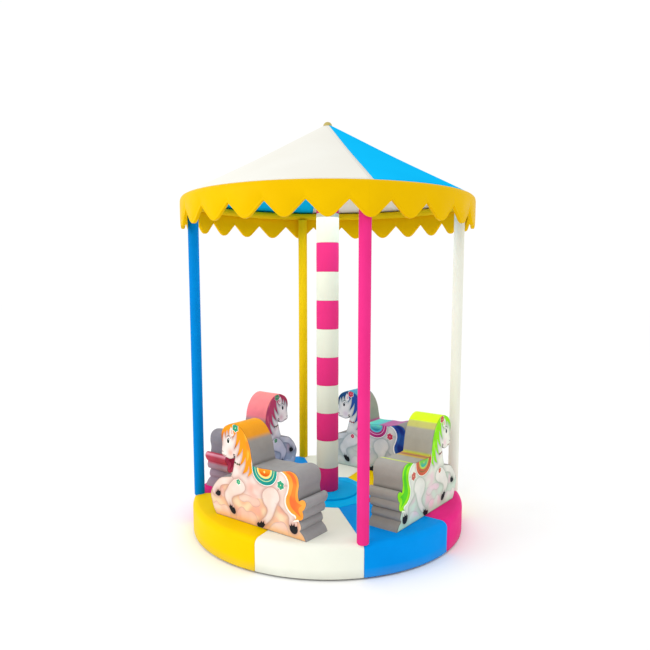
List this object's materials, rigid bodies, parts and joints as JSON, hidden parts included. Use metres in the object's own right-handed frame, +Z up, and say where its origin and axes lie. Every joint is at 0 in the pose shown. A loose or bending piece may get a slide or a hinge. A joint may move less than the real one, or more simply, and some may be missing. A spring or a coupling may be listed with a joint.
{
  "type": "soft-play carousel",
  "caption": "Padded turning carousel for toddlers: foam horses on a round vinyl deck, posts, a striped column and a conical canopy with a scalloped edge.",
  "frame": {"origin": "on the floor, on the axis that the platform turns about", "axes": "+Z up; -Y towards the side that faces the viewer, between the blue and the pink post"},
  "size_m": [2.074, 2.074, 2.926],
  "materials": {
    "vinyl_white": "satin upholstery vinyl over foam",
    "vinyl_blue": "satin upholstery vinyl over foam",
    "vinyl_pink": "satin upholstery vinyl over foam",
    "vinyl_yellow": "satin upholstery vinyl over foam",
    "canopy_blue": "coated tarpaulin",
    "canopy_white": "coated tarpaulin",
    "foam_grey": "matt vinyl skin on cut foam, printed sides",
    "gloss_yellow": "moulded",
    "painted_steel": "painted",
    "bearing_steel": "machined",
    "bright_steel": "galvanised",
    "plywood": "birch plywood"
  },
  "bodies": {
    "base": {"base_cross": "painted_steel", "slew_ring_lower": "bearing_steel"},
    "platform": {"slew_ring_upper": "bearing_steel", "turntable_arms": "painted_steel", "turntable_board": "plywood", "deck_pad_white_front": "vinyl_white", "deck_pad_blue_right": "vinyl_blue", "deck_pad_pink_right": "vinyl_pink", "deck_pad_yellow_back": "vinyl_yellow", "deck_pad_white_back": "vinyl_white", "deck_pad_blue_left": "vinyl_blue", "deck_pad_pink_left": "vinyl_pink", "deck_pad_yellow_front": "vinyl_yellow", "centre_deck": "vinyl_blue", "centre_disc": "vinyl_blue", "column_core": "bright_steel", "column_band_01_pink": "vinyl_pink", "column_band_02_white": "vinyl_white", "column_band_03_pink": "vinyl_pink", "column_band_04_white": "vinyl_white", "column_band_05_pink": "vinyl_pink", "column_band_06_white": "vinyl_white", "column_band_07_pink": "vinyl_pink", "column_band_08_white": "vinyl_white", "column_band_09_pink": "vinyl_pink", "column_band_10_white": "vinyl_white", "column_band_11_pink": "vinyl_pink", "column_band_12_white": "vinyl_white", "column_band_13_pink": "vinyl_pink", "post_pink": "vinyl_pink", "post_white": "vinyl_white", "post_yellow": "vinyl_yellow", "post_blue": "vinyl_blue", "eave_hoop": "vinyl_yellow", "crown_hub": "bright_steel", "canopy_white_front": "canopy_white", "canopy_blue_right": "canopy_blue", "canopy_white_back": "canopy_white", "canopy_blue_left": "canopy_blue", "valance_front": "vinyl_yellow", "valance_right": "vinyl_yellow", "valance_back": "vinyl_yellow", "valance_left": "vinyl_yellow", "finial": "gloss_yellow", "horse_orange": "foam_grey", "horse_green": "foam_grey", "horse_blue": "foam_grey", "horse_pink": "foam_grey"}
  },
  "joints": [
    {"name": "platform_spin", "type": "hinge", "parent": "base", "child": "platform", "pos_m": [0, 0, 0.09], "axis": [0, 0, 1], "continuous": true}
  ]
}
